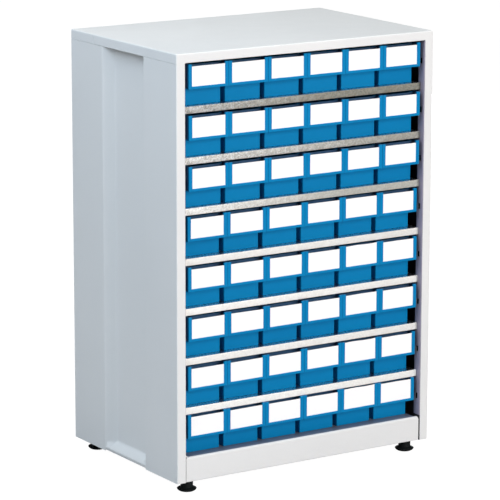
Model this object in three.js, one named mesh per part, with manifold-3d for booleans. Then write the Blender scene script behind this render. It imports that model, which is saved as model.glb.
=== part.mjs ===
// Freestanding parts organizer: a folded sheet-steel cabinet with eight rows of
// six plastic bins running on seven hung shelves and the cabinet base, standing
// on four levelling feet. Millimetres, +Z up, front toward -Y, floor at z = 0,
// origin on the floor under the middle of the cabinet.
import * as THREE from 'three';
import { mergeVertices } from 'three/addons/utils/BufferGeometryUtils.js';
import Module from 'manifold-3d';

// ---- shared dimensions --------------------------------------------------
const WIDTH = 602;            // over the side panels
const DEPTH = 404;            // front face of the stiles to the back panel
const HEIGHT = 872;           // floor to the top cover
const HALF_WIDTH = WIDTH / 2;
const BACK = DEPTH / 2;
const FRONT = -BACK;
const FOOT_HEIGHT = 26;       // floor to the underside of the cabinet
const BASE_TOP = 76.5;        // bin running surface of the cabinet base
const ROWS = 8;
const COLUMNS = 6;
const SHELF_ZERO = 74.5;      // height the shelf pitch counts from
const SHELF_PITCH = 99;
const FOOT_X = 263.3;
const FOOT_Y = 174.7;
const STUD_RADIUS = 4;

const OVERRUN = 1;            // how far a cut runs past the faces it opens
const FUSE = 0.5;             // how far joined sheets stop inside the outer faces

const FINISH = {
  carcass: { color: 0xd3d9da, roughness: 0.5, metalness: 0.1 },
  shelf: { color: 0xbdb9ae, roughness: 0.45, metalness: 0.7 },
  bin: { color: 0x0082c8, roughness: 0.4, metalness: 0 },
  foot: { color: 0x11181a, roughness: 0.55, metalness: 0 },
};

// ---- solid helpers ------------------------------------------------------
const wasm = await Module();
wasm.setup();

// Turns a closed geometry into a solid; the geometry itself is used up.
function solid(geometry) {
  geometry.deleteAttribute('normal');
  geometry.deleteAttribute('uv');
  const merged = mergeVertices(geometry, 1e-4);
  return new wasm.Manifold(new wasm.Mesh({
    numProp: 3,
    vertProperties: new Float32Array(merged.attributes.position.array),
    triVerts: new Uint32Array(merged.index.array),
  }));
}

// Block filling an [low, high] range along each axis.
function box([x0, x1], [y0, y1], [z0, z1]) {
  return solid(new THREE.BoxGeometry(x1 - x0, y1 - y0, z1 - z0)
    .translate((x0 + x1) / 2, (y0 + y1) / 2, (z0 + z1) / 2));
}

// Range centred on zero.
const across = (half) => [-half, half];

// X range from inner to outer distance off the middle, on the left (-1) or right (1).
const onSide = (side, inner, outer) => (side < 0 ? [-outer, -inner] : [inner, outer]);

// Eight-cornered solid between two rectangles { x, y: [low, high], z: [low, high] }.
const FRUSTUM_FACES = [
  0, 3, 2, 0, 2, 1, 4, 5, 6, 4, 6, 7, 0, 1, 5, 0, 5, 4,
  1, 2, 6, 1, 6, 5, 2, 3, 7, 2, 7, 6, 3, 0, 4, 3, 4, 7,
];

function frustum(...sections) {
  const corners = sections
    .sort((a, b) => a.x - b.x)
    .flatMap(({ x, y, z }) => [x, y[0], z[0], x, y[1], z[0], x, y[1], z[1], x, y[0], z[1]]);
  const geometry = new THREE.BufferGeometry();
  geometry.setAttribute('position', new THREE.Float32BufferAttribute(corners, 3));
  geometry.setIndex(FRUSTUM_FACES);
  return solid(geometry);
}

function union(parts) {
  return parts.reduce((joined, part) => joined.add(part));
}

function geometryOf(manifold) {
  const mesh = manifold.getMesh();
  const geometry = new THREE.BufferGeometry();
  const positions = new Float32Array(mesh.vertProperties);
  geometry.setAttribute('position', new THREE.Float32BufferAttribute(positions, 3));
  geometry.setIndex(Array.from(mesh.triVerts));
  geometry.computeVertexNormals();
  return geometry;
}

const group = new THREE.Group();
group.name = 'parts_organizer';

function place(name, geometry, finish, x = 0, y = 0, z = 0) {
  const mesh = new THREE.Mesh(geometry, new THREE.MeshStandardMaterial(finish));
  mesh.name = name;
  mesh.position.set(x, y, z);
  group.add(mesh);
}

// ---- carcass ------------------------------------------------------------
// Folded side panels, top cover, back panel, stiles, base and plinth are
// spot-welded together, so they are one solid here.
const SHEET = 1.5;
const OPENING_HALF = 280.7;   // half width of the front opening
const OPENING_TOP = 854.3;    // underside of the top rail
const RETURN_DEPTH = 20;      // depth of the folded returns round the opening
const FLANGE_SIDE_WIDTH = 78; // bottom flange, in from the side faces
const FLANGE_END_WIDTH = 62;  // bottom flange, in from the front and back faces

// Pressed vertical channel in each side panel, open on the outside.
const CHANNEL = {
  depth: 18.5,
  y: [-80.5, 77.5],
  bottom: 34.5,               // outer edge of the sloping lower end
  rise: 12.5,                 // rise of that slope over the channel depth
  top: 853,                   // under the skirt of the top cover
  mouthOverrun: 2,            // how far the cut continues outside the panel
};

// Notch in the lower edge of each side panel, below the channel.
const NOTCH_HEIGHT = 3;
const NOTCH_EXTRA = 0.1;      // reach beyond the sheet's inner face

const STUD_CLEARANCE = 0.7;
const STUD_HOLE_LENGTH = 8;

// Channel shape grown by a wall thickness: zero gives the hollow, SHEET its
// skin. The long sides slope at 45 degrees.
function channel(side, wall) {
  const slope = CHANNEL.rise / CHANNEL.depth;
  const growY = wall * Math.SQRT2;
  const growZ = wall * Math.hypot(1, slope);
  const section = (depth) => ({
    x: side * (HALF_WIDTH - depth),
    y: [CHANNEL.y[0] + depth - growY, CHANNEL.y[1] - depth + growY],
    z: [CHANNEL.bottom + slope * depth - growZ, CHANNEL.top + wall],
  });
  const mouth = wall > 0 ? 0 : -CHANNEL.mouthOverrun;
  // The floor section grows by the wall but keeps the outline of the channel
  // slopes carried on to its own depth.
  return frustum(section(mouth), section(CHANNEL.depth + wall));
}

// Outer skin, open underneath and at the front.
function shell() {
  return box(across(HALF_WIDTH), [FRONT, BACK], [FOOT_HEIGHT, HEIGHT])
    .subtract(box(across(HALF_WIDTH - SHEET), [FRONT + SHEET, BACK - SHEET],
      [FOOT_HEIGHT - OVERRUN, HEIGHT - SHEET]))
    .subtract(box(across(OPENING_HALF), [FRONT - OVERRUN, FRONT + SHEET + OVERRUN],
      [BASE_TOP, OPENING_TOP]));
}

function bottomFlange() {
  return box(across(HALF_WIDTH - FUSE), [FRONT + FUSE, BACK - FUSE],
    [FOOT_HEIGHT, FOOT_HEIGHT + SHEET])
    .subtract(box(across(HALF_WIDTH - FLANGE_SIDE_WIDTH),
      [FRONT + FLANGE_END_WIDTH, BACK - FLANGE_END_WIDTH],
      [FOOT_HEIGHT - OVERRUN, FOOT_HEIGHT + SHEET + OVERRUN]));
}

function studHole(x, y) {
  const radius = STUD_RADIUS + STUD_CLEARANCE;
  return solid(new THREE.CylinderGeometry(radius, radius, STUD_HOLE_LENGTH, 16)
    .rotateX(Math.PI / 2)
    .translate(x, y, FOOT_HEIGHT));
}

function makeCarcass() {
  const returnY = [FRONT + FUSE, FRONT + RETURN_DEPTH];
  const parts = [
    shell(),
    // return under the top rail
    box(across(OPENING_HALF + FUSE), returnY, [OPENING_TOP, OPENING_TOP + SHEET]),
    // running surface of the base
    box(across(HALF_WIDTH - FUSE), [FRONT + FUSE, BACK - FUSE], [BASE_TOP - SHEET, BASE_TOP]),
    bottomFlange(),
  ];
  const cuts = [];
  for (const side of [-1, 1]) {
    parts.push(
      box(onSide(side, OPENING_HALF, OPENING_HALF + SHEET), returnY,
        [FOOT_HEIGHT + FUSE, HEIGHT - FUSE]),
      channel(side, SHEET),
    );
    cuts.push(
      channel(side, 0),
      box(onSide(side, HALF_WIDTH - SHEET - NOTCH_EXTRA, HALF_WIDTH + OVERRUN), CHANNEL.y,
        [FOOT_HEIGHT - OVERRUN, FOOT_HEIGHT + NOTCH_HEIGHT]),
      studHole(side * FOOT_X, -FOOT_Y),
      studHole(side * FOOT_X, FOOT_Y),
    );
  }
  return geometryOf(union(parts).subtract(union(cuts)));
}

place('carcass', makeCarcass(), FINISH.carcass);

// ---- shelves ------------------------------------------------------------
// Trays turned upside down, numbered from the bottom; z = 0 on the top face.
const SHELF_SHEET = 1.2;
const SHELF_LIP = 14;         // height of the folded lip on all four sides
const SHELF_HALF = 280.3;
const SHELF_FRONT = -190;     // lip face, set back from the cabinet face
const SHELF_BACK = 199.9;

function makeShelf() {
  return geometryOf(box(across(SHELF_HALF), [SHELF_FRONT, SHELF_BACK], [-SHELF_LIP, 0])
    .subtract(box(across(SHELF_HALF - SHELF_SHEET),
      [SHELF_FRONT + SHELF_SHEET, SHELF_BACK - SHELF_SHEET],
      [-SHELF_LIP - OVERRUN, -SHELF_SHEET])));
}

const shelfHeight = (number) => SHELF_ZERO + number * SHELF_PITCH;

const shelfGeometry = makeShelf();
for (let k = 1; k < ROWS; k++) {
  place(`shelf_${k}`, shelfGeometry.clone(), FINISH.shelf, 0, 0, shelfHeight(k));
}

// ---- bins ---------------------------------------------------------------
// Local frame: x across, y = 0 on the face of the label holder, z = 0 underneath.
const COLUMN_PITCH = 90.64;
const HOLDER_HALF = 45;       // half width of the label holder
const TROUGH_HALF = 40.2;
const RIM_HALF = 44.8;
const RIM_THICKNESS = 2.5;
const RIM_NOTCH = 1;          // the front wall's cut runs this far back into the rim
const BIN_LENGTH = 390;
const BIN_HEIGHT = 82;        // top of the holder's ears
const BIN_WALL = 1.8;
const BIN_FLOOR = 2;
const TROUGH_TOP = 79;
const FRONT_WALL_TOP = 78;
const HOLDER_DEPTH = 22;      // label holder stands this far ahead of the trough
const HOLDER_BOTTOM = 34;
const LABEL_HALF = 37.35;
const LABEL_BOTTOM = 39;
const LABEL_TOP = 77;         // top of the holder wall between its two ears
const LABEL_RECESS = 1.6;
const RUN_GAP = 0.3;          // bin underside above its running surface
// how far each row rests behind the cabinet face, top row first
const ROW_SETBACK = [3, 2, 2, 8, 6, 5, 7, 8];

function makeBin() {
  const above = BIN_HEIGHT + OVERRUN;
  const frontWallBack = HOLDER_DEPTH + BIN_WALL;
  const holderWallBack = LABEL_RECESS + BIN_WALL;
  const body = union([
    box(across(TROUGH_HALF), [HOLDER_DEPTH, BIN_LENGTH], [0, TROUGH_TOP]),
    box(across(HOLDER_HALF), [0, frontWallBack], [HOLDER_BOTTOM, BIN_HEIGHT]),
    box(across(RIM_HALF), [HOLDER_DEPTH, BIN_LENGTH], [TROUGH_TOP - RIM_THICKNESS, TROUGH_TOP]),
  ]);
  const cuts = union([
    // trough
    box(across(TROUGH_HALF - BIN_WALL), [frontWallBack, BIN_LENGTH - BIN_WALL],
      [BIN_FLOOR, above]),
    // front wall of the trough, a little lower than the holder's ears
    box(across(HOLDER_HALF - BIN_WALL), [HOLDER_DEPTH - OVERRUN, frontWallBack + RIM_NOTCH],
      [FRONT_WALL_TOP, above]),
    // hollow behind the label
    box(across(HOLDER_HALF - BIN_WALL), [holderWallBack, HOLDER_DEPTH],
      [HOLDER_BOTTOM + BIN_WALL, above]),
    // label pocket, open upward between the two ears
    box(across(LABEL_HALF), [-OVERRUN, LABEL_RECESS], [LABEL_BOTTOM, above]),
    box(across(LABEL_HALF), [-OVERRUN, holderWallBack + OVERRUN], [LABEL_TOP, above]),
  ]);
  return geometryOf(body.subtract(cuts));
}

const binGeometry = makeBin();
ROW_SETBACK.forEach((setback, row) => {
  const shelf = ROWS - 1 - row; // shelf under this row, 0 for the base
  const surface = shelf === 0 ? BASE_TOP : shelfHeight(shelf);
  for (let column = 0; column < COLUMNS; column++) {
    place(`drawer_r${row + 1}c${column + 1}`, binGeometry.clone(), FINISH.bin,
      (column - (COLUMNS - 1) / 2) * COLUMN_PITCH, FRONT + setback, surface + RUN_GAP);
  }
});

// ---- levelling feet -----------------------------------------------------
// Round pad with a small flat sole and a domed underside, plain hub and a
// stud that passes up through the bottom flange.
const STUD_TOP = 62;
const STUD_CHAMFER = 1;
const HUB_RADIUS = 12.6;
const HUB_TOP = FOOT_HEIGHT - 0.3;

// [radius, z] from the middle of the sole to the tip of the stud
const FOOT_PROFILE = [
  [0, 0], [8, 0], [15, 1.9], [19, 5.3], [19.4, 6.4], [18.2, 7.6], [13.4, 9.6],
  [HUB_RADIUS, 12], [HUB_RADIUS, HUB_TOP], [STUD_RADIUS, HUB_TOP],
  [STUD_RADIUS, STUD_TOP - STUD_CHAMFER], [STUD_RADIUS - STUD_CHAMFER, STUD_TOP], [0, STUD_TOP],
];

function makeFoot() {
  const points = FOOT_PROFILE.map(([radius, z]) => new THREE.Vector2(radius, z));
  return geometryOf(solid(new THREE.LatheGeometry(points, 20).rotateX(Math.PI / 2)));
}

const footGeometry = makeFoot();
for (const [end, y] of [['front', -FOOT_Y], ['back', FOOT_Y]]) {
  for (const [side, x] of [['left', -FOOT_X], ['right', FOOT_X]]) {
    place(`foot_${end}_${side}`, footGeometry.clone(), FINISH.foot, x, y);
  }
}

export default group;
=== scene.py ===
import math
import random

import bmesh
import bpy
from mathutils import Matrix, Vector


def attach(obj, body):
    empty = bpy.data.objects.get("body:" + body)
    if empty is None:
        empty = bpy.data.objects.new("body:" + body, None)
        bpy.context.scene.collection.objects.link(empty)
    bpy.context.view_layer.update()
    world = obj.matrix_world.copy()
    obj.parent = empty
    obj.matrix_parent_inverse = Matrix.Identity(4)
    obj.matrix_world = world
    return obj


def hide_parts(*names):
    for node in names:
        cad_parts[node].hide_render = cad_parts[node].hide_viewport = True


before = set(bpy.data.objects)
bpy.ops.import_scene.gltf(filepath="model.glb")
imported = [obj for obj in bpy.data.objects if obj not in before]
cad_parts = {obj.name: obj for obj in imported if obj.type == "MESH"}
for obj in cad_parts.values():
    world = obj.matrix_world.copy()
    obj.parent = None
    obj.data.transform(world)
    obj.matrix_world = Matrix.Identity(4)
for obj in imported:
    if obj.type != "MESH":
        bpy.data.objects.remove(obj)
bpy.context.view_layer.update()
MM = 0.001

# ---------------------------------------------------------------- driving dimensions (mm)
HALF_W, HALF_D, TOP = 301.0, 202.0, 872.0
FRONT_Y, BACK_Y = -HALF_D, HALF_D - 1.0
FOOT_H = 26.0  # underside of the carcass
FOOT_X, FOOT_Y = 263.3, 174.7
OPEN_X, OPEN_TOP = 280.7, 854.3  # front opening: half width and upper edge
BASE_TOP = 76.5
COVER_Z = 853.0  # lower edge of the top cover's skirt
ROWS, COLS, COL_PITCH = 8, 6, 90.64
SHELF_ZERO, PITCH = 74.5, 99.0
SURFACES = [BASE_TOP] + [SHELF_ZERO + PITCH * k for k in range(1, ROWS)]  # base first, going up


# ---------------------------------------------------------------- outlines
def lerp(a, b, t):
    return a + (b - a) * t


def smooth_min(a, b, blend):
    overlap = max(blend - abs(a - b), 0.0) / blend
    return min(a, b) - overlap * overlap * blend * 0.25


def smooth_max(a, b, blend):
    return -smooth_min(-a, -b, blend)


def fillet(points, radii, segments=4):
    """Open polyline with its inner corners rounded, one radius per inner corner."""
    out = [Vector(points[0])]
    for *trio, radius in zip(points, points[1:], points[2:], radii):
        before, corner, after = map(Vector, trio)
        come, leave = (corner - before).normalized(), (after - corner).normalized()
        turn = math.atan2(come.x * leave.y - come.y * leave.x, come.dot(leave))
        if abs(turn) < 1e-6 or radius <= 0:
            out.append(corner)
            continue
        start = corner - come * (radius * math.tan(abs(turn) / 2))
        side = 1 if turn > 0 else -1
        centre = start + Vector((-come.y, come.x)) * radius * side
        arm = start - centre
        for k in range(segments + 1):
            angle = turn * k / segments
            cos, sin = math.cos(angle), math.sin(angle)
            out.append(centre + Vector((arm.x * cos - arm.y * sin, arm.x * sin + arm.y * cos)))
    out.append(Vector(points[-1]))
    return out


def left_normals(line):
    """Left-hand normals of an open polyline, mitred."""
    out = []
    for i in range(len(line)):
        sides = []
        if i > 0:
            run = (line[i] - line[i - 1]).normalized()
            sides.append(Vector((-run.y, run.x)))
        if i < len(line) - 1:
            run = (line[i + 1] - line[i]).normalized()
            sides.append(Vector((-run.y, run.x)))
        mitre = sum(sides, Vector((0, 0))).normalized()
        out.append(mitre / max(mitre.dot(sides[0]), 0.3))
    return out


def rounded_ring(x0, x1, y0, y1, radius, xs, ys, segments=4):
    """Closed rounded rectangle with extra points at xs and ys; its point count never varies."""
    radius = max(radius, 0.05)

    def corner(x, y, start):
        angles = [math.radians(start + 90 * k / segments) for k in range(segments + 1)]
        return [(x + radius * math.cos(a), y + radius * math.sin(a)) for a in angles]

    return (
        corner(x0 + radius, y0 + radius, 180) + [(x, y0) for x in xs]
        + corner(x1 - radius, y0 + radius, 270) + [(x1, y) for y in ys]
        + corner(x1 - radius, y1 - radius, 0) + [(x, y1) for x in reversed(xs)]
        + corner(x0 + radius, y1 - radius, 90) + [(x0, y) for y in reversed(ys)]
    )


# ---------------------------------------------------------------- meshes
def tidy(mesh, sharp=38.0, weighted=True):
    """Weld, face outwards, smooth below the sharp angle and weight the normals by face area."""
    work = bmesh.new()
    work.from_mesh(mesh)
    bmesh.ops.remove_doubles(work, verts=work.verts, dist=1e-7)
    bmesh.ops.recalc_face_normals(work, faces=work.faces)
    work.to_mesh(mesh)
    work.free()
    mesh.shade_smooth()
    mesh.set_sharp_from_angle(angle=math.radians(sharp))
    if not weighted:
        return mesh
    holder = bpy.data.objects.new("tmp", mesh)
    bpy.context.scene.collection.objects.link(holder)
    modifier = holder.modifiers.new("wn", "WEIGHTED_NORMAL")
    modifier.keep_sharp = True
    modifier.weight = 50
    graph = bpy.context.evaluated_depsgraph_get()
    out = bpy.data.meshes.new_from_object(holder.evaluated_get(graph), depsgraph=graph)
    out.name = mesh.name
    bpy.data.objects.remove(holder)
    return out


def new_mesh(name, verts, faces, sharp=38.0, weighted=True):
    mesh = bpy.data.meshes.new(name)
    mesh.from_pydata([(x * MM, y * MM, z * MM) for x, y, z in verts], [], faces)
    return tidy(mesh, sharp, weighted)


def grid_shell(outer, inner):
    """Closed shell from two grids of points of the same size (rows x columns)."""
    rows, cols = len(outer), len(outer[0])
    verts = [p for row in outer for p in row] + [p for row in inner for p in row]
    n = rows * cols
    faces = []
    for i in range(rows - 1):
        for j in range(cols - 1):
            a = i * cols + j
            b, c, d = a + 1, a + cols + 1, a + cols
            faces.append((a, b, c, d))
            faces.append((n + a, n + d, n + c, n + b))
    for j in range(cols - 1):
        faces.append((j, n + j, n + j + 1, j + 1))
        k = (rows - 1) * cols + j
        faces.append((k, k + 1, n + k + 1, n + k))
    for i in range(rows - 1):
        a, b = i * cols, (i + 1) * cols
        faces.append((a, b, n + b, n + a))
        a, b = a + cols - 1, b + cols - 1
        faces.append((a, n + a, n + b, b))
    return verts, faces


def fold_sheet(name, line, thick, stations, place):
    """A sheet folded along a 2-D line and drawn out; place(u, v, station) gives the point."""
    back = [p - n * thick for p, n in zip(line, left_normals(line))]
    outer, inner = ([[place(p.x, p.y, s) for p in face] for s in stations] for face in (line, back))
    return new_mesh(name, *grid_shell(outer, inner))


def folded_tray(name, x_span, y_span, z_span, corner, fold, thick, xs, ys, push, lift=None):
    """Tray open underneath: four skirts and a flat top, with rounded folds.
    push(x, y, z) moves the skirt inwards for grooves; lift(x, y) raises its lower edge."""
    (x0, x1), (y0, y1), (z0, z1) = x_span, y_span, z_span
    fold_steps = 4

    def pushed(x, y, z, inset):
        move = push(x, y, z)
        if move:
            if abs(x - x0 - inset) < 0.01:
                x += move
            elif abs(x - x1 + inset) < 0.01:
                x -= move
            elif abs(y - y0 - inset) < 0.01:
                y += move
        return x, y

    def rings(depth, radius):
        top = z1 - depth
        levels = []
        for z in (z0, z0 + 0.6, lerp(z0, top - radius, 0.5), top - radius):
            # a straight lower edge is turned in slightly
            levels.append((depth + (0.35 if z == z0 and depth == 0 and not lift else 0), z))
        for k in range(1, fold_steps + 1):
            a = math.pi / 2 * k / fold_steps
            levels.append((depth + radius * (1 - math.cos(a)), top - radius + radius * math.sin(a)))
        out = []
        for inset, z in levels:
            ring = rounded_ring(x0 + inset, x1 - inset, y0 + inset, y1 - inset, corner - inset, xs, ys)
            ring = [pushed(x, y, z, inset) for x, y in ring]
            low = z < z0 + 1
            out.append([(x, y, z + (lift(x, y) if lift and low else 0)) for x, y in ring])
        return out

    outer, inner = rings(0, fold), rings(thick, fold - thick)
    verts = [p for ring in outer + inner for p in ring]
    n, m = len(outer[0]), len(outer)
    faces = []
    for k in range(m - 1):
        for j in range(n):
            a, b = k * n + j, k * n + (j + 1) % n
            faces.append((a, b, b + n, a + n))
            a, b = a + m * n, b + m * n
            faces.append((a, a + n, b + n, b))
    for j in range(n):
        a, b = j, (j + 1) % n
        faces.append((a, a + m * n, b + m * n, b))
    faces.append(tuple((m - 1) * n + j for j in range(n)))
    faces.append(tuple((2 * m - 1) * n + j for j in reversed(range(n))))
    return new_mesh(name, verts, faces)


# Cell neighbour (i, j, k): the corners of the face that looks at it
CELL_FACES = {
    (-1, 0, 0): ((0, 0, 0), (0, 0, 1), (0, 1, 1), (0, 1, 0)),
    (1, 0, 0): ((1, 0, 0), (1, 1, 0), (1, 1, 1), (1, 0, 1)),
    (0, -1, 0): ((0, 0, 0), (1, 0, 0), (1, 0, 1), (0, 0, 1)),
    (0, 1, 0): ((0, 1, 0), (0, 1, 1), (1, 1, 1), (1, 1, 0)),
    (0, 0, -1): ((0, 0, 0), (0, 1, 0), (1, 1, 0), (1, 0, 0)),
    (0, 0, 1): ((0, 0, 1), (1, 0, 1), (1, 1, 1), (0, 1, 1)),
}
ADD, CUT = 1, -1


def block_solid(name, boxes, bevel, rounds=()):
    """Solid built up and cut by boxes (ADD or CUT, x0, x1, y0, y1, z0, z1), taken in order.
    rounds: (test on an edge's two ends, radius, segments), run before the small bevel."""
    xs, ys, zs = (sorted({round(box[k], 4) for box in boxes for k in (i, i + 1)}) for i in (1, 3, 5))
    full = set()
    for i in range(len(xs) - 1):
        x = (xs[i] + xs[i + 1]) / 2
        for j in range(len(ys) - 1):
            y = (ys[j] + ys[j + 1]) / 2
            for k in range(len(zs) - 1):
                z = (zs[k] + zs[k + 1]) / 2
                solid = False
                for sign, x0, x1, y0, y1, z0, z1 in boxes:
                    if x0 < x < x1 and y0 < y < y1 and z0 < z < z1:
                        solid = sign > 0
                if solid:
                    full.add((i, j, k))
    work = bmesh.new()
    made = {}

    def vert(i, j, k):
        if (i, j, k) not in made:
            made[(i, j, k)] = work.verts.new((xs[i], ys[j], zs[k]))
        return made[(i, j, k)]

    def edges_over(angle, test=None):
        return [e for e in work.edges if len(e.link_faces) == 2 and e.calc_face_angle(0) > angle
                and (test is None or test(e.verts[0].co, e.verts[1].co))]

    def soften(edges, radius, segments):
        bmesh.ops.bevel(work, geom=edges, offset=radius, segments=segments, profile=0.5,
                        affect="EDGES", clamp_overlap=True)

    for i, j, k in sorted(full):
        for step, quad in CELL_FACES.items():
            if (i + step[0], j + step[1], k + step[2]) not in full:
                work.faces.new([vert(i + a, j + b, k + c) for a, b, c in quad])
    bmesh.ops.dissolve_limit(work, angle_limit=math.radians(1), verts=work.verts,
                             edges=work.edges, delimit=set())
    for test, radius, segments in rounds:
        edges = edges_over(1.0, test)
        if edges:
            soften(edges, radius, segments)
    soften(edges_over(math.radians(50)), bevel, 2)
    for v in work.verts:
        v.co *= MM
    mesh = bpy.data.meshes.new(name)
    work.to_mesh(mesh)
    work.free()
    return tidy(mesh, 40.0)


def lathe(name, profile, segments, ripple=None):
    """Closed turned solid about Z; the (radius, z) profile runs from axis below to axis on top."""
    verts, faces = [], []
    body = profile[1:-1]
    for radius, z in body:
        for k in range(segments):
            a = 2 * math.pi * k / segments
            r = radius + (ripple(a, radius, z) if ripple else 0)
            verts.append((r * math.cos(a), r * math.sin(a), z))
    low, high = len(verts), len(verts) + 1
    verts += [(0, 0, profile[0][1]), (0, 0, profile[-1][1])]
    for i in range(len(body) - 1):
        for k in range(segments):
            a, b = i * segments + k, i * segments + (k + 1) % segments
            faces.append((a, b, b + segments, a + segments))
    last = (len(body) - 1) * segments
    for k in range(segments):
        faces.append((low, (k + 1) % segments, k))
        faces.append((high, last + k, last + (k + 1) % segments))
    return new_mesh(name, verts, faces, sharp=45)


# ---------------------------------------------------------------- material tools
def srgb(red, green, blue, gain=1):
    def linear(v):
        v /= 255
        return v / 12.92 if v <= 0.04045 else ((v + 0.055) / 1.055) ** 2.4

    return (linear(red * gain), linear(green * gain), linear(blue * gain), 1.0)


def scaled(colour, gain):
    return tuple(min(1.0, c * gain) for c in colour[:3]) + (1.0,)


class Shader:
    """A new material and short ways to add nodes to it."""

    def __init__(self, name):
        self.material = bpy.data.materials.new(name)
        self.material.use_nodes = True
        self.tree = self.material.node_tree
        self.bsdf = next(n for n in self.tree.nodes if n.type == "BSDF_PRINCIPLED")
        self.coord = self.node("ShaderNodeTexCoord").outputs["Object"]

    def node(self, kind, **props):
        node = self.tree.nodes.new(kind)
        for key, value in props.items():
            setattr(node, key, value)
        return node

    def link(self, source, target):
        self.tree.links.new(source, target)

    def feed(self, socket, value):
        """Set a socket to a plain value, or link an output to it."""
        if isinstance(value, (int, float, tuple)):
            socket.default_value = value
        else:
            self.link(value, socket)

    def put(self, name, value):
        self.feed(self.bsdf.inputs[name], value)

    def noise(self, scale, detail=3.0, rough=0.55, stretch=None):
        noise = self.node("ShaderNodeTexNoise")
        noise.inputs["Scale"].default_value = scale
        noise.inputs["Detail"].default_value = detail
        noise.inputs["Roughness"].default_value = rough
        source = self.coord
        if stretch:
            mapping = self.node("ShaderNodeMapping")
            mapping.inputs["Scale"].default_value = stretch
            self.link(source, mapping.inputs["Vector"])
            source = mapping.outputs["Vector"]
        self.link(source, noise.inputs["Vector"])
        return noise.outputs["Fac"]

    def span(self, value, out, over=(0.0, 1.0)):
        """Map the range over to the range out, clamped."""
        node = self.node("ShaderNodeMapRange")
        for name, limit in zip(("From Min", "From Max", "To Min", "To Max"), (*over, *out)):
            node.inputs[name].default_value = limit
        self.link(value, node.inputs["Value"])
        return node.outputs["Result"]

    def calc(self, operation, *values):
        node = self.node("ShaderNodeMath", operation=operation)
        for socket, value in zip(node.inputs, values):
            self.feed(socket, value)
        return node.outputs[0]

    def times(self, a, b):
        return self.calc("MULTIPLY", a, b)

    def near_zero(self, value, limit):
        return self.calc("LESS_THAN", self.calc("ABSOLUTE", value), limit)

    def mix(self, factor, first, second):
        node = self.node("ShaderNodeMix", data_type="RGBA")
        sockets = {i.identifier: i for i in node.inputs}
        for key, value in (("Factor_Float", factor), ("A_Color", first), ("B_Color", second)):
            self.feed(sockets[key], value)
        return next(o for o in node.outputs if o.identifier == "Result_Color")

    def bump(self, height, strength, distance, normal=None):
        node = self.node("ShaderNodeBump")
        node.inputs["Strength"].default_value = strength
        node.inputs["Distance"].default_value = distance
        self.link(height, node.inputs["Height"])
        if normal is not None:
            self.link(normal, node.inputs["Normal"])
        return node.outputs["Normal"]

    def axis(self, vector, index):
        node = self.node("ShaderNodeSeparateXYZ")
        self.link(vector, node.inputs["Vector"])
        return node.outputs[index]

    def place(self, index):
        return self.axis(self.coord, index)

    def facing(self, index):
        return self.axis(self.node("ShaderNodeNewGeometry").outputs["True Normal"], index)


# ---------------------------------------------------------------- materials
SLOT_Y = -190.6  # centre of the slots in the side panels' front returns


def painted_inward_shade(paint, colour, inner_shade_colour):
    """Painted shade: a dark colour on faces that look towards x = 0, a paler one on the front returns and a
    near-black one in the slot pockets.
    """
    return_x, return_y, return_z = 0.2815, -0.181, 0.079  # limits of the front returns
    pocket_x, pocket_half_x, pocket_half_y = 0.2898, 0.0087, 0.0039  # painted shade in the pockets at the slots
    x = paint.place(0)
    toward = paint.facing(0)
    inward = paint.calc("LESS_THAN", paint.times(paint.calc("SIGN", x), toward), -0.3)
    # faces that look into the cabinet get the dark painted shade
    colour = paint.mix(inward, colour, inner_shade_colour)
    edge = paint.near_zero(x, return_x)
    front = paint.calc("LESS_THAN", paint.place(1), return_y)
    above = paint.calc("GREATER_THAN", paint.place(2), return_z)
    # the front returns above the base get a paler mauve-grey painted shade instead of the light grey
    flange = paint.times(paint.times(inward, front), paint.times(edge, above))
    colour = paint.mix(flange, colour, srgb(166, 158, 174))
    y = paint.place(1)
    off_slot = paint.calc("ADD", y, -SLOT_Y * MM)
    off_pocket = paint.calc("SUBTRACT", paint.calc("ABSOLUTE", x), pocket_x)
    pocket_shade = paint.times(paint.near_zero(off_slot, pocket_half_y),
                         paint.near_zero(off_pocket, pocket_half_x))
    # the pockets at the slots get a near-black painted shade
    return paint.mix(pocket_shade, colour, srgb(18, 19, 24))


def powder_coat(name, colour, dark, inner=None, deck=None):
    """Fine-textured grey powder coat: orange-peel skin, slow tone drift, faint handling marks.
    inner is a painted shade on faces that look into the cabinet; deck is a painted shade with a bluish
    painted reflection of the bins on those that face up behind the front edge."""
    paint = Shader(name)
    drift = paint.noise(scale=3.2, detail=2.0, rough=0.5)
    tone = paint.mix(paint.span(drift, out=(0.0, 0.55), over=(0.3, 0.8)), colour, dark)
    fine = paint.noise(scale=900.0, detail=2.0, rough=0.6)
    tone = paint.mix(paint.span(fine, out=(0.0, 0.16), over=(0.45, 0.8)), tone, scaled(dark, gain=0.82))
    if inner:
        # painted shade on the faces that look into the cabinet
        tone = painted_inward_shade(paint, tone, inner)
    # painted shade and painted reflection: up-facing faces behind the front edge get a darker bluish grey
    # for shade and the bins' reflection
    if deck:
        front_edge = -0.197
        up = paint.span(paint.facing(2), out=(0.0, 1.0), over=(0.9, 0.99))
        behind = paint.calc("GREATER_THAN", paint.place(1), front_edge)
        tone = paint.mix(paint.times(up, behind), tone, deck)
    paint.put("Base Color", tone)
    smear = paint.noise(scale=22.0, detail=4.0, rough=0.6, stretch=(1.0, 1.0, 0.25))
    paint.put("Roughness", paint.span(smear, out=(0.42, 0.56), over=(0.3, 0.7)))
    peel = paint.bump(paint.noise(scale=520.0, detail=1.5, rough=0.5), strength=0.22, distance=0.0006)
    paint.put("Normal", paint.bump(fine, strength=0.10, distance=0.0002, normal=peel))
    paint.put("Specular IOR Level", 0.45)
    return paint.material


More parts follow.
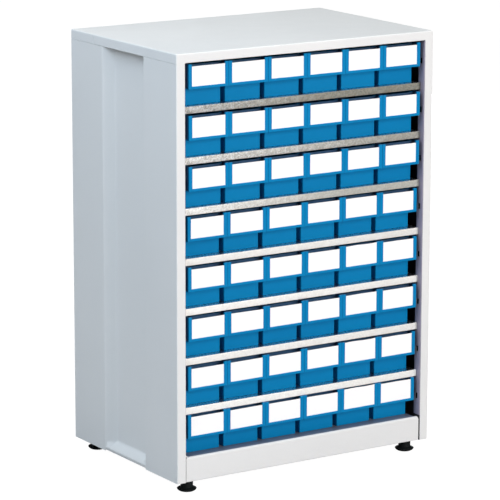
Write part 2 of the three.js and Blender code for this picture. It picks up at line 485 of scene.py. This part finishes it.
def galvanised(name, left, right, dark, warm, contrast, rough, fade=(-0.27, 0.24)):
    """Hot-dip zinc: crystal spangle a few millimetres across over fine speckle. The lip goes from the left
    colour to the right one over the fade in x, a painted reflection; the deck, facing up, is dark bare
    metal."""
    deck_light, deck_dark = (0.66, 0.68, 0.70, 1), (0.52, 0.54, 0.56, 1)
    zinc = Shader(name)
    cells = zinc.node("ShaderNodeTexVoronoi", feature="F1")
    cells.inputs["Scale"].default_value = 360.0
    cells.inputs["Randomness"].default_value = 1.0
    zinc.link(zinc.coord, cells.inputs["Vector"])
    split = zinc.node("ShaderNodeSeparateColor")
    zinc.link(cells.outputs["Color"], split.inputs["Color"])
    spangle, warmth, dullness = split.outputs[:3]
    speck = zinc.noise(scale=1100.0, detail=2.0, rough=0.6)
    spangle_share, speck_share = 0.6, 0.4
    grain = zinc.calc("ADD", zinc.times(spangle, spangle_share), zinc.times(speck, speck_share))
    # painted reflection: the lip's colour fades from left to right
    tone = zinc.mix(zinc.span(zinc.place(0), out=(0.0, 1.0), over=fade), left, right)
    tone = zinc.mix(zinc.span(grain, out=(0.0, contrast), over=(0.2, 0.85)), tone, dark)
    tone = zinc.mix(zinc.span(warmth, out=(0.0, contrast * 0.5), over=(0.45, 1.0)), tone, warm)
    up = zinc.span(zinc.facing(2), out=(0.0, 1.0), over=(0.75, 0.95))
    deck = zinc.mix(zinc.span(grain, out=(0.0, 1.0), over=(0.2, 0.85)), deck_light, deck_dark)
    zinc.put("Base Color", zinc.mix(up, tone, deck))
    zinc.put("Metallic", zinc.span(up, out=(0.35, 1.0)))
    zinc.put("Specular IOR Level", 0.5)
    zinc.put("Roughness", zinc.calc("ADD", zinc.span(dullness, out=(rough, rough + 0.14)),
                                    zinc.span(up, out=(0.0, -0.16))))
    zinc.put("Normal", zinc.bump(spangle, strength=0.10, distance=0.0002))
    return zinc.material


def moulded_plastic(name, colour, dark, rough, grain, specular, tint=(1.0, 1.0, 1.0, 1.0), pocket_shade=None):
    """Injection-moulded plastic: fine grain, flow drift, slightly different from part to part.
    pocket_shade is a painted shade inside the trough behind the label."""
    plastic = Shader(name)
    info = plastic.node("ShaderNodeObjectInfo")
    drift = plastic.noise(scale=14.0, stretch=(1.0, 0.25, 1.0))
    part_share, drift_share = 0.35, 0.65
    vary = plastic.calc("ADD", plastic.times(info.outputs["Random"], part_share),
                        plastic.times(drift, drift_share))
    tone = plastic.mix(plastic.span(vary, out=(0.0, 0.5), over=(0.25, 0.8)), colour, dark)
    fine = plastic.noise(scale=grain, detail=2.0, rough=0.6)
    tone = plastic.mix(plastic.span(fine, out=(0.0, 0.14), over=(0.5, 0.85)), tone,
                       scaled(colour, gain=1.4))
    if pocket_shade:
        # painted shade on the trough's wall behind the label, above the trough floor
        y, z = plastic.place(1), plastic.place(2)
        zone = plastic.times(plastic.span(y, out=(0.0, 1.0), over=(0.0036, 0.0060)),
                             plastic.span(y, out=(1.0, 0.0), over=(0.0221, 0.0226)))
        above = plastic.span(z, out=(0.0, 1.0), over=(0.0355, 0.037))
        tone = plastic.mix(plastic.times(zone, above), tone, pocket_shade)
    plastic.put("Base Color", tone)
    sheen = plastic.noise(scale=60.0)
    plastic.put("Roughness", plastic.span(sheen, out=(rough, rough + 0.12), over=(0.3, 0.7)))
    plastic.put("Normal", plastic.bump(fine, strength=0.16, distance=0.00025))
    plastic.put("Specular IOR Level", specular)
    plastic.put("Specular Tint", tint)
    return plastic.material


def card_stock(name):
    card = Shader(name)
    fibre = card.noise(scale=420.0, detail=4.0, rough=0.7, stretch=(1.0, 1.0, 3.0))
    card.put("Base Color", card.mix(card.span(fibre, out=(0.0, 0.5), over=(0.35, 0.75)),
                                    srgb(246, 250, 251), srgb(240, 244, 245)))
    card.put("Roughness", 0.72)
    card.put("Specular IOR Level", 0.3)
    card.put("Normal", card.bump(fibre, strength=0.12, distance=0.0002))
    return card.material


def turned_steel(name):
    light, dark = (0.62, 0.62, 0.60, 1), (0.42, 0.42, 0.42, 1)
    steel = Shader(name)
    marks = steel.noise(scale=300.0, rough=0.6, stretch=(1.0, 1.0, 8.0))
    steel.put("Base Color", steel.mix(steel.span(marks, out=(0, 1), over=(0.3, 0.7)), light, dark))
    steel.put("Metallic", 0.9)
    steel.put("Roughness", steel.span(marks, out=(0.28, 0.45)))
    steel.put("Normal", steel.bump(marks, strength=0.1, distance=0.0001))
    return steel.material


GREY = (srgb(222, 226, 226), srgb(212, 217, 218))
PAINT = powder_coat("paint_light_grey", *GREY)
# side panels carry painted shade on their inward faces, front returns and slot pockets
PAINT_SIDE = powder_coat("paint_side_panel", *GREY, inner=srgb(38, 40, 44))
# the base's deck carries a bluish painted shade and painted reflection
PAINT_BASE = powder_coat("paint_base", *GREY, deck=srgb(106, 115, 131))
# a darker copy of the grey paint: painted shade on the flange under the base
PAINT_INNER_SHADED = powder_coat("paint_light_grey_inner", srgb(205, 209, 211), srgb(190, 195, 198))
# the blue carries a slate painted shade behind each label
BLUE = moulded_plastic("plastic_blue", srgb(3, 125, 182), srgb(0, 110, 168), rough=0.36, grain=1400.0,
                       specular=0.35, tint=(0.16, 0.72, 1.0, 1.0), pocket_shade=srgb(62, 92, 128))
BLACK = moulded_plastic("plastic_black", srgb(14, 20, 22), srgb(8, 12, 14), rough=0.58, grain=900.0,
                        specular=0.15)
CARD = card_stock("card_white")
STEEL = turned_steel("steel_turned")
# Zinc by shelf number, lowest first; lip colours and their fades from left to right are painted reflections
# over the zinc's own tone, darker at the right on the three upper shelves
ZINC = {
    7: galvanised("zinc_7", left=srgb(204, 209, 210), right=srgb(144, 147, 138),
                  dark=srgb(104, 105, 98), warm=srgb(156, 148, 124),
                  contrast=0.85, rough=0.34, fade=(-0.27, 0.06)),
    6: galvanised("zinc_6", left=srgb(236, 241, 240), right=srgb(168, 171, 165),
                  dark=srgb(124, 125, 119), warm=srgb(178, 172, 150), contrast=0.75, rough=0.34),
    5: galvanised("zinc_5", left=srgb(249, 253, 251), right=srgb(184, 188, 182),
                  dark=srgb(146, 148, 141), warm=srgb(196, 192, 174),
                  contrast=0.55, rough=0.36, fade=(-0.27, 0.08)),
}
# the small brightness steps between the lower shelves are painted light
for number, gain in ((1, 1.015), (2, 0.985), (3, 1.0), (4, 0.955)):
    ZINC[number] = galvanised(f"zinc_{number}", left=srgb(249, 251, 248, gain),
                              right=srgb(240, 243, 240, gain), dark=srgb(206, 208, 203, gain),
                              warm=srgb(230, 229, 220, gain), contrast=0.35, rough=0.38)


def piece(name, mesh, material, body="cabinet", replaces=None, at=(0, 0, 0)):
    obj = bpy.data.objects.new(name, mesh)
    if not mesh.materials:
        mesh.materials.append(material)
    obj.location = [c * MM for c in at]
    bpy.context.scene.collection.objects.link(obj)
    bpy.context.view_layer.update()
    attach(obj, body)
    if replaces:
        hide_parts(replaces)


# ---------------------------------------------------------------- side panels
SIDE_THICK = 1.2
JOG = 1.8  # step inwards under the top cover
# Upright channel pressed into each side: depth, y limits, foot of its slope and the slope's height
CHANNEL_DEPTH, CHANNEL_Y0, CHANNEL_Y1, CHANNEL_Z, CHANNEL_RISE = 18.5, -80.5, 77.5, 34.5, 12.5
SLOT_HALF_Y, SLOT_HALF_Z, SLOT_DEPTH = 3.35, 5.8, 12.0
SLOTS_Z = [SHELF_ZERO + PITCH * k + 44 for k in range(ROWS)]


def ticks(marks, low, high, step):
    """Sorted sample places: the marks, the ends and regular fill."""
    base = sorted({round(m, 3) for m in marks if low < m < high} | {low, high})
    out = []
    for a, b in zip(base, base[1:]):
        out.append(a)
        n = int((b - a) // step)
        for i in range(1, n + 1):
            out.append(a + (b - a) * i / (n + 1))
    out.append(base[-1])
    return out


def side_outline():
    """Plan of the left panel (x, y): front return, stile, side and back return."""
    corners = fillet([(-OPEN_X, FRONT_Y + 20), (-OPEN_X, FRONT_Y), (-HALF_W, FRONT_Y),
                      (-HALF_W, BACK_Y), (-286, BACK_Y)], [2.0, 2.2, 2.2])
    creases = (CHANNEL_Y0, CHANNEL_Y0 + CHANNEL_DEPTH, CHANNEL_Y1 - CHANNEL_DEPTH, CHANNEL_Y1)
    marks = [c + d for c in creases for d in range(-3, 4)] + [CHANNEL_Y0 - 0.15, CHANNEL_Y1 + 0.15]
    line = []
    for p, q in zip(corners, corners[1:]):
        line.append(p)
        if abs(p.x - q.x) < 1e-6 and abs(p.x + HALF_W) < 1e-6 and abs(p.y - q.y) > 100:
            line += [Vector((p.x, y)) for y in ticks(marks, p.y, q.y, 24)[1:-1]]
        elif abs(p.x - q.x) < 1e-3 and abs(p.x + OPEN_X) < 1e-3:
            line += [Vector((p.x, SLOT_Y + d)) for d in (3.5, 3.2, -3.2, -3.5)]
    line.append(corners[-1])
    return line


def side_push(p, z):
    """Depth by which the skin is pressed in at outline point p and height z."""
    depth = 0.0
    if abs(p.x + HALF_W) < 0.01:
        across = smooth_min(p.y - CHANNEL_Y0, CHANNEL_Y1 - p.y, 4.0)
        ramp = smooth_min(across, (z - CHANNEL_Z) * CHANNEL_DEPTH / CHANNEL_RISE, 4.0)
        depth = smooth_min(smooth_max(ramp, 0.0, 3.0), CHANNEL_DEPTH, 3.0)
        if CHANNEL_Y0 < p.y < CHANNEL_Y1 and z < CHANNEL_Z:
            depth = max(depth, (CHANNEL_Z - z) / 5.5 * 1.6)
    elif abs(p.x + OPEN_X) < 0.01:
        if abs(p.y - SLOT_Y) < SLOT_HALF_Y and any(abs(z - s) < SLOT_HALF_Z for s in SLOTS_Z):
            depth = SLOT_DEPTH
    # the stiles meet the cover flush in front; the sides step in under it a little lower
    if z > (COVER_Z + 0.05 if p.y < FRONT_Y + 0.5 else COVER_Z - 0.5):
        depth = max(depth, JOG)
    return depth


def side_panel(name, mirror):
    line = side_outline()
    normals = left_normals(line)
    marks = [base + d for base, offsets in (
        (FOOT_H, (3.6, 5, 7)),
        (CHANNEL_Z, (-1.5, 0, 1.5, 3.5, 8)),
        (CHANNEL_Z + CHANNEL_RISE, (-2, 0, 2, 4)),
        (COVER_Z, (-1, -0.7, -0.2, 0, 0.2, 1)),
        *((s, (-6.0, -5.6, 5.6, 6.0)) for s in SLOTS_Z),
    ) for d in offsets]
    outer, inner = [], []
    for level in ticks(marks, FOOT_H, TOP - 4, 60):
        outer_row, inner_row = [], []
        for p, n in zip(line, normals):
            z = level
            # the lower edge is cut higher across the channel
            if z == FOOT_H and abs(p.x + HALF_W) < 0.01 and CHANNEL_Y0 <= p.y <= CHANNEL_Y1:
                z = FOOT_H + 3
            depth = side_push(p, z)
            a, b = p - n * depth, p - n * (depth + SIDE_THICK)
            outer_row.append((a.x * mirror, a.y, z))
            inner_row.append((b.x * mirror, b.y, z))
        outer.append(outer_row)
        inner.append(inner_row)
    return new_mesh(name, *grid_shell(outer, inner), sharp=42)


piece("side_panel_left", side_panel("side_panel_left", 1), PAINT_SIDE, replaces="carcass")
piece("side_panel_right", side_panel("side_panel_right", -1), PAINT_SIDE)

# ---------------------------------------------------------------- top cover
NOTCH_Y = 111.0  # upright groove in each side skirt
LINTEL_Z = OPEN_TOP + 0.1


def cover_push(x, y, z):
    return 0.9 if abs(y - NOTCH_Y) < 0.45 and abs(x) > 295 and z < TOP - 2 else 0.0


def cover_lift(x, y):
    """The front skirt is shorter across the opening."""
    return LINTEL_Z - COVER_Z if y < FRONT_Y + 3 and abs(x) < OPEN_X else 0.0


def top_cover():
    xs = (-OPEN_X - 0.1, -OPEN_X + 0.1, -200, -100, 0, 100, 200, OPEN_X - 0.1, OPEN_X + 0.1)
    ys = (-100, 0, *(NOTCH_Y + d for d in (-0.8, -0.4, 0.4, 0.8)))
    return folded_tray("top_cover", (-HALF_W, HALF_W), (FRONT_Y, BACK_Y), (COVER_Z, TOP), corner=2.4,
                       fold=2.4, thick=1.2, xs=xs, ys=ys, push=cover_push, lift=cover_lift)


def rail_return():
    """Upturned fold behind the cover's front skirt, over the opening; its line is (y, z)."""
    front, back, half = FRONT_Y + 1.3, FRONT_Y + 20, 280.2
    line = fillet([(front, OPEN_TOP + 9), (front, LINTEL_Z), (back, LINTEL_Z), (back, OPEN_TOP + 8)],
                  [1.0, 1.4])
    stations = [lerp(-half, half, k / 8) for k in range(9)]
    return fold_sheet("rail_return", line, 1.2, stations, lambda y, z, x: (x, y, z))


piece("top_cover", top_cover(), PAINT)
piece("rail_return", rail_return(), PAINT)

# ---------------------------------------------------------------- base and plinth
BASE_HALF, BASE_R, BASE_SHIFT = 279.8, 4.0, -0.5
DECK_HALF = 270.6
DROP_H = 12  # height over which the plinth's corner drop fades out
FLANGE_HOLE = 5.2  # half width of the square foot holes


def base_place(y, z, x):
    """Top corners of the plinth are rounded; behind them the deck is clear of the side returns."""
    over = max(0.0, abs(x) - (BASE_HALF - BASE_R))
    drop = BASE_R - math.sqrt(max(BASE_R**2 - over**2, 0.0))
    fade = min(max((z - (BASE_TOP - DROP_H)) / DROP_H, 0.0), 1.0)
    if y > FRONT_Y + 5.4:
        x = max(min(x, DECK_HALF), -DECK_HALF) + (0.02 * over if x > 0 else -0.02 * over)
        drop = 0.0
    return x + BASE_SHIFT, y, z - drop * fade


def base_plinth():
    ends = [BASE_HALF - BASE_R * (1 - math.sin(math.pi / 2 * k / 5)) for k in range(6)]
    stations = [-e for e in reversed(ends)] + [-180, -90, 0, 90, 180] + ends
    front, low = FRONT_Y + 1.2, FOOT_H + 0.1
    line = fillet([(-176, low), (front, low), (front, BASE_TOP), (FRONT_Y + 5.3, BASE_TOP),
                   (FRONT_Y + 5.7, BASE_TOP), (198.2, BASE_TOP)], [1.8, 4.0, 0, 0], 5)
    return fold_sheet("base_plinth", line, 1.3, stations, base_place)


def base_flange():
    """Flat frame under the base; the channels come in above it, so it runs on under them."""
    boxes = [(ADD, -299.0, 299.0, -198.0, 199.0, FOOT_H + 1.6, FOOT_H + 3.2),
             (CUT, -224, 224, -140, 140, 20, 36)]
    for x in (-FOOT_X, FOOT_X):
        for y in (-FOOT_Y, FOOT_Y):
            boxes.append((CUT, x - FLANGE_HOLE, x + FLANGE_HOLE, y - FLANGE_HOLE, y + FLANGE_HOLE, 20, 36))
    return block_solid("base_flange", boxes, bevel=0.3)


piece("base_plinth", base_plinth(), PAINT_BASE)
piece("base_flange", base_flange(), PAINT_INNER_SHADED)

# ---------------------------------------------------------------- back panel and rivets
RIVET_X, RIVET_Z, RIVET_PITCH = 293.5, 72, 185
RIVET_PROFILE = [(0, 0), (2.6, 0), (2.9, 0.25), (2.5, 0.7), (1.5, 0.95), (0, 1.0)]  # radius, height

back_boxes = [(ADD, -298.6, 298.6, 199.1, 199.75, 32, 868), (ADD, -284, 284, 199.2, 200.9, 46, COVER_Z)]
piece("back_panel", block_solid("back_panel", back_boxes, bevel=0.5), PAINT)
rivet = lathe("rivet", RIVET_PROFILE, 20)
rivet.transform(Matrix.Rotation(math.radians(-90), 4, "X"))
for side, sign in (("left", -1), ("right", 1)):
    for i in range(5):
        piece(f"rivet_{side}_{i + 1}", rivet, PAINT, at=(sign * RIVET_X, BACK_Y, RIVET_Z + i * RIVET_PITCH))

# ---------------------------------------------------------------- shelves
GROOVE_XS = (275.7, 276.1, 277.5, 277.9)  # edges of the groove near each end of the front lip


def shelf_push(x, y, z):
    return 1.5 if y < -150 and 276.0 < abs(x) < 277.6 else 0.0


shelf_xs = (*(-x for x in reversed(GROOVE_XS)), -180, -90, 0, 90, 180, *GROOVE_XS)
shelf = folded_tray("shelf", (-280.3, 280.3), (-190.0, 198.8), (-14.0, 0.0), corner=1.4, fold=1.8,
                    thick=1.1, xs=shelf_xs, ys=(-100, 0, 100), push=shelf_push)
for k in range(1, ROWS):
    piece(f"shelf_{k}_sheet", shelf.copy(), ZINC[k], replaces=f"shelf_{k}",
          at=(0, 0, SURFACES[k]))

# ---------------------------------------------------------------- bins
# A bin's own frame: x = 0 in the middle, y = 0 at the front face, z = 0 underneath
WALL, FLOOR = 1.8, 2
BIN_LEN, BIN_HALF, RIM_HALF, FACE_HALF = 390, 40.2, 44.8, 45
TROUGH_D, TROUGH_Z = 22.0, 34  # the label trough in front of the body
RIM_Z = 79
INNER_HALF, INNER_BACK = BIN_HALF - WALL, BIN_LEN - WALL
TROUGH_HALF = FACE_HALF - WALL
WINDOW_HALF, WINDOW_Z = 37.35, 39
OVER = 90  # above every part of the bin
RIB_PITCH = 61


def bin_boxes():
    boxes = [
        (ADD, -BIN_HALF, BIN_HALF, TROUGH_D, BIN_LEN, 0, RIM_Z),
        (ADD, -FACE_HALF, FACE_HALF, 0, TROUGH_D + WALL, TROUGH_Z, 82),
        (ADD, -RIM_HALF, RIM_HALF, TROUGH_D, BIN_LEN, 76.5, RIM_Z),
        (CUT, -INNER_HALF, INNER_HALF, TROUGH_D + WALL, INNER_BACK, FLOOR, OVER),
        # top of the wall between trough and body
        (CUT, -TROUGH_HALF, TROUGH_HALF, TROUGH_D - 2, TROUGH_D + 2.8, 78, OVER),
        (CUT, -TROUGH_HALF, TROUGH_HALF, 3.4, TROUGH_D, TROUGH_Z + WALL, OVER),
        # card slot, the window in front of it, and the lowered top of the face
        (CUT, -38.9, 38.9, 0.75, 1.6, 37.6, OVER),
        (CUT, -WINDOW_HALF, WINDOW_HALF, -1, 0.9, WINDOW_Z, OVER),
        (CUT, -WINDOW_HALF, WINDOW_HALF, -1, 4.4, 77, OVER),
    ]
    # pairs of upright ribs inside the side walls
    for i in range(1, 6):
        y = TROUGH_D + 2 + i * RIB_PITCH
        for sign in (-1, 1):
            for offset in (-1.7, 0.7):
                x0, x1 = sorted((sign * INNER_HALF, sign * 37.3))
                boxes.append((ADD, x0, x1, y + offset, y + offset + 1.0, FLOOR, 70))
    return boxes


def same(*pairs):
    return all(abs(a - b) < 1e-3 for a, b in pairs)


def upright(x, y):
    """Test for upright edges at y on both sides, x from the middle."""
    return lambda p, q: same((p.x, q.x), (p.y, q.y), (p.y, y), (abs(p.x), x))


def crosswise(y, z):
    """Test for edges along x at the given y and z."""
    return lambda p, q: same((p.z, q.z), (p.y, q.y), (p.y, y), (p.z, z))


# edges, radius, segments
BIN_ROUNDS = [
    (upright(BIN_HALF, BIN_LEN), 4.0, 4),
    (upright(INNER_HALF, INNER_BACK), 2.6, 4),
    (upright(RIM_HALF, BIN_LEN), 3.0, 3),
    (upright(FACE_HALF, 0), 1.5, 4),
    (upright(WINDOW_HALF, 0), 0.6, 3),
    (crosswise(0, WINDOW_Z), 0.6, 3),
    (crosswise(0, TROUGH_Z), 1.0, 3),
    (upright(BIN_HALF, TROUGH_D), 1.2, 3),
    (crosswise(TROUGH_D, 0), 3.2, 6),
]

# ---------------------------------------------------------------- label cards
CARD_HALF, CARD_H, CARD_THICK = 38.4, 39.3, 0.35
CARD_KINDS = [(0.05, 0.0), (-0.05, 0.003), (0.1, -0.003), (0.0, 0.006), (0.08, -0.006)]  # bow, tilt
# Cards that stand up out of the holder, (row, column): (extra height, tilt)
TALL_CARDS = {
    (5, 5): (3.0, 0.004), (5, 6): (1.0, 0.0), (6, 5): (1.5, 0.003), (6, 6): (0.6, 0.0),
    (7, 5): (3.3, -0.003), (7, 6): (1.6, 0.0), (8, 5): (3.1, 0.004), (8, 6): (1.5, -0.003),
}


def card_mesh(name, bow, tilt, tall=0.0):
    cols, rows = 8, 6
    outer, inner = [], []
    for j in range(rows + 1):
        level = lerp(0, CARD_H + tall, j / rows)
        front, back = [], []
        for i in range(cols + 1):
            x = lerp(-CARD_HALF, CARD_HALF, i / cols)
            y = bow * (1 - (x / CARD_HALF) ** 2) + 0.05 * math.sin(x * 0.12 + level * 0.1)
            z = level + tilt * x * (level / 40.1)
            # a tall card's top edge isn't cut quite straight
            z += 0.12 * tall * math.sin(x * 0.11 + tall) * (j == rows)
            front.append((x, y, z))
            back.append((x, y + CARD_THICK, z))
        outer.append(front)
        inner.append(back)
    return new_mesh(name, *grid_shell(outer, inner), weighted=False)


# ---------------------------------------------------------------- bins and cards in their rows
SETBACKS = [3, 2, 2, 8, 6, 5, 7, 8]  # of each row from the cabinet front, top row first
RUN_GAP = 0.3  # between a bin and the surface it stands on

bin_mesh = block_solid("bin", bin_boxes(), 0.3, BIN_ROUNDS)
rng = random.Random(11)
cards = [card_mesh(f"card_{i}", *kind) for i, kind in enumerate(CARD_KINDS)]
for row in range(1, ROWS + 1):
    z = SURFACES[ROWS - row] + RUN_GAP
    for col in range(1, COLS + 1):
        x = (col - 1 - (COLS - 1) / 2) * COL_PITCH
        y = FRONT_Y + SETBACKS[row - 1]
        tag = f"r{row}c{col}"
        body = f"drawer_{tag}"
        piece(f"bin_{tag}", bin_mesh, BLUE, body, replaces=body, at=(x, y, z))
        mesh = cards[rng.randrange(len(cards))]
        raised = rng.uniform(-0.15, 0.25)
        if (row, col) in TALL_CARDS:
            tall, tilt = TALL_CARDS[(row, col)]
            mesh = card_mesh(f"card_{tag}", 0.0, tilt, tall)
            raised = 0.0
        piece(f"label_{tag}", mesh, CARD, body, at=(x, y + 1.02, z + 38.3 + raised))

# ---------------------------------------------------------------- levelling feet
# radius, z
PAD_PROFILE = [
    (0, 0), (7.6, 0), (8.2, 0.1), (11.5, 0.8), (15, 1.9), (17.4, 3.4), (19.0, 5.3), (19.4, 6.2),
    (19.2, 6.9), (18.2, 7.6), (15.6, 8.6), (13.5, 9.5), (12.7, 10.6), (12.4, 12.2), (12.4, 24.6),
    (12.0, 25.4), (11.4, 25.7), (4.6, 25.7), (4.5, 25.6), (0, 25.6),
]
STUD_R, STUD_LOW, STUD_HIGH = 3.95, 25.65, 61.4
THREAD_PITCH, THREAD_DEPTH = 1.25, 0.42
THREAD_STEP = THREAD_PITCH / 10
NUT_FLAT, NUT_BORE = 6.5, 4.15  # from the axis
NUT_LOW, NUT_HIGH, NUT_CHAMFER = FOOT_H + 3.3, FOOT_H + 9.6, 0.4


def grip(angle, radius, z):
    """Twenty flutes round the pad's neck."""
    if 12.3 < radius < 12.5 and 12.5 < z < 25:
        return 0.2 * (math.cos(angle * 20) > 0.2) - 0.1
    return 0.0


def thread(angle, radius, z):
    if radius < 3.9 or z > 61.3:
        return 0.0
    phase = (z / THREAD_PITCH - angle / (2 * math.pi)) % 1.0
    return -THREAD_DEPTH * abs(2 * phase - 1)


def foot_stud():
    count = int((STUD_HIGH - STUD_LOW) / (2 * THREAD_STEP)) * 2 + 1
    shank = [(STUD_R, STUD_LOW + THREAD_STEP * i) for i in range(count)]
    return lathe("foot_stud", [(0, STUD_LOW)] + shank + [(3.2, 61.9), (0, 62.0)], 24, thread)


def foot_nut():
    """Hexagonal ring with chamfered ends."""
    n = 48
    hexagon, bore = [], []
    for k in range(n):
        a = 2 * math.pi * k / n
        off_flat = (a % (math.pi / 3)) - math.pi / 6
        radius = NUT_FLAT / math.cos(off_flat)
        hexagon.append((radius * math.cos(a), radius * math.sin(a)))
        bore.append((NUT_BORE * math.cos(a), NUT_BORE * math.sin(a)))
    inset = NUT_CHAMFER / 12
    low, high = NUT_LOW + NUT_CHAMFER, NUT_HIGH - NUT_CHAMFER
    # outline, scale, z: up the outside and down the bore
    loops = [(hexagon, 1 - inset, NUT_LOW), (hexagon, 1, low), (hexagon, 1, high),
             (hexagon, 1 - inset, NUT_HIGH), (bore, 1 + inset, NUT_HIGH), (bore, 1, high),
             (bore, 1, low), (bore, 1 + inset, NUT_LOW)]
    verts = [(x * scale, y * scale, z) for line, scale, z in loops for x, y in line]
    faces = []
    for i in range(len(loops)):
        above = (i + 1) % len(loops)
        for j in range(n):
            beside = (j + 1) % n
            faces.append((i * n + j, i * n + beside, above * n + beside, above * n + j))
    return new_mesh("foot_nut", verts, faces)


pad = lathe("foot_pad", PAD_PROFILE, 120, grip)
stud = foot_stud()
nut = foot_nut()
for end, y in (("front", -FOOT_Y), ("back", FOOT_Y)):
    for side, x in (("left", -FOOT_X), ("right", FOOT_X)):
        name = f"{end}_{side}"
        foot = f"foot_{name}"
        piece(f"foot_pad_{name}", pad, BLACK, foot, replaces=foot, at=(x, y, 0))
        piece(f"foot_stud_{name}", stud, STEEL, foot, at=(x, y, 0))
        piece(f"foot_nut_{name}", nut, STEEL, at=(x, y, 0))


# ---------------------------------------------------------------- floor
def studio_floor():
    """Blown-out white to the camera, but throws back only a moderate amount of light."""
    white, off_white, bounce = (0.92, 0.92, 0.92, 1), (0.90, 0.90, 0.90, 1), (0.5, 0.5, 0.5, 1)
    glow_strength, glow_share = 1.1, 0.9
    floor = Shader("studio_floor")
    seen = floor.node("ShaderNodeLightPath").outputs["Is Camera Ray"]
    tone = floor.mix(floor.span(floor.noise(scale=2.0), out=(0, 1)), white, off_white)
    floor.put("Base Color", floor.mix(seen, bounce, tone))
    floor.put("Roughness", 0.85)
    floor.put("Specular IOR Level", 0.0)
    glow = floor.node("ShaderNodeEmission")
    glow.inputs["Color"].default_value = (1, 1, 1, 1)
    glow.inputs["Strength"].default_value = glow_strength
    blend = floor.node("ShaderNodeMixShader")
    floor.link(floor.times(seen, glow_share), blend.inputs[0])
    floor.link(floor.bsdf.outputs[0], blend.inputs[1])
    floor.link(glow.outputs[0], blend.inputs[2])
    output = next(n for n in floor.tree.nodes if n.type == "OUTPUT_MATERIAL")
    floor.link(blend.outputs[0], output.inputs["Surface"])
    return floor.material


def studio_sweep():
    """Floor that curves up into a wall behind the cabinet."""
    bend_y, bend_r, wall_top = 3.5, 3.0, 9
    profile = [(y, 0) for y in (-9, -4, 0, bend_y)]
    for k in range(1, 13):
        a = math.pi / 2 * k / 12
        profile.append((bend_y + bend_r * math.sin(a), bend_r * (1 - math.cos(a))))
    profile.append((bend_y + bend_r, wall_top))
    verts = [(x, y, z) for x in (-12, -4, 4, 12) for y, z in profile]
    n = len(profile)
    faces = [(a, a + n, a + n + 1, a + 1) for i in range(3) for a in range(i * n, i * n + n - 1)]
    mesh = bpy.data.meshes.new("studio_sweep")
    mesh.from_pydata(verts, [], faces)
    mesh.shade_smooth()
    mesh.materials.append(studio_floor())
    sweep = bpy.data.objects.new("studio_sweep", mesh)
    bpy.context.scene.collection.objects.link(sweep)


studio_sweep()


# ---------------------------------------------------------------- lights, world, camera
def area_light(name, at, aim, size, watts, colour):
    light = bpy.data.lights.new(name, "AREA")
    light.shape = "RECTANGLE"
    light.size = light.size_y = size
    light.energy = watts
    light.color = colour
    obj = bpy.data.objects.new(name, light)
    obj.location = at
    obj.rotation_euler = (Vector(aim) - Vector(at)).to_track_quat("-Z", "Y").to_euler()
    bpy.context.scene.collection.objects.link(obj)


# name, place, aim, size, watts, colour
for light_row in (
    ("key_front", (0.9, -5.0, 2.0), (0, 0, 0.45), 3.0, 222, (1.0, 0.915, 0.885)),
    ("side_high", (-2.0, -0.55, 2.6), (-0.3, -0.1, 0.9), 1.9, 61, (0.776, 0.872, 1.0)),
    ("top_soft", (0.0, 0.2, 4.2), (0, 0, 0), 3.6, 66, (1.0, 0.94, 0.87)),
    ("fill_back", (3.3, 3.1, 0.25), (0, 0, 0.45), 0.9, 96, (0.93, 0.97, 1.0)),
):
    area_light(*light_row)

scene = bpy.context.scene
world = bpy.data.worlds.new("studio")
scene.world = world
world.use_nodes = True
background = next(n for n in world.node_tree.nodes if n.type == "BACKGROUND")
background.inputs["Color"].default_value = (0.96, 0.98, 1.0, 1)
background.inputs["Strength"].default_value = 0.18

camera = bpy.data.cameras.new("camera")
camera.sensor_width = 36
camera.lens = 211.894
camera.clip_start, camera.clip_end = 0.1, 60
camera_object = bpy.data.objects.new("camera", camera)
camera_object.location = (-3.17707, -4.89643, 1.70778)
camera_object.rotation_euler = (1.353816, -0.002155, -0.574646)
scene.collection.objects.link(camera_object)
scene.camera = camera_object
scene.view_settings.view_transform = "Standard"
scene.view_settings.look = "None"
